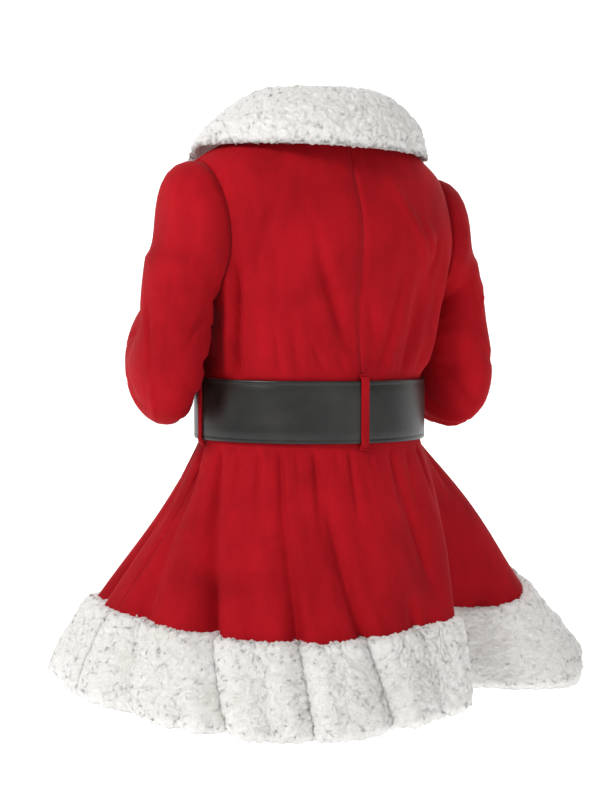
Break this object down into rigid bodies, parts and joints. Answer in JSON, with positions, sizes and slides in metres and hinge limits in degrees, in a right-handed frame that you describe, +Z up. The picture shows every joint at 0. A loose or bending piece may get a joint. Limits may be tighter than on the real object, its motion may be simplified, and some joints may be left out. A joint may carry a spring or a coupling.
{
  "type": "santa costume",
  "caption": "Child's flared red velvet santa coat with fur collar, cuffs and hem and a wide black belt, in worn shape.",
  "frame": {"origin": "middle of the neck base, where the collar joins the bodice and the wearer's shoulders hold the coat", "axes": "+Z up along the wearer's body, the front faces -Y, the wearer's left is +X"},
  "size_m": [0.5814, 0.3844, 0.635],
  "materials": {
    "velvet": "soft cotton velvet pile",
    "fur": "short curly faux fur",
    "belt_leather": "satin faux leather",
    "buckle_metal": "polished gold tone"
  },
  "bodies": {
    "root": {"bodice_back_left": "velvet", "bodice_back_right": "velvet", "bodice_front_left": "velvet", "bodice_front_right": "velvet", "sleeve_left": "velvet", "sleeve_right": "velvet", "skirt_back": "velvet", "skirt_front_left": "velvet", "skirt_front_right": "velvet", "belt_loop_back": "velvet", "belt_loop_left": "velvet", "belt_loop_right": "velvet", "collar": "fur", "cuff_left": "fur", "cuff_right": "fur", "hem_fur_back": "fur", "hem_fur_left": "fur", "hem_fur_right": "fur", "belt_strap": "belt_leather", "buckle_frame": "buckle_metal", "buckle_prong": "buckle_metal"}
  },
  "joints": []
}
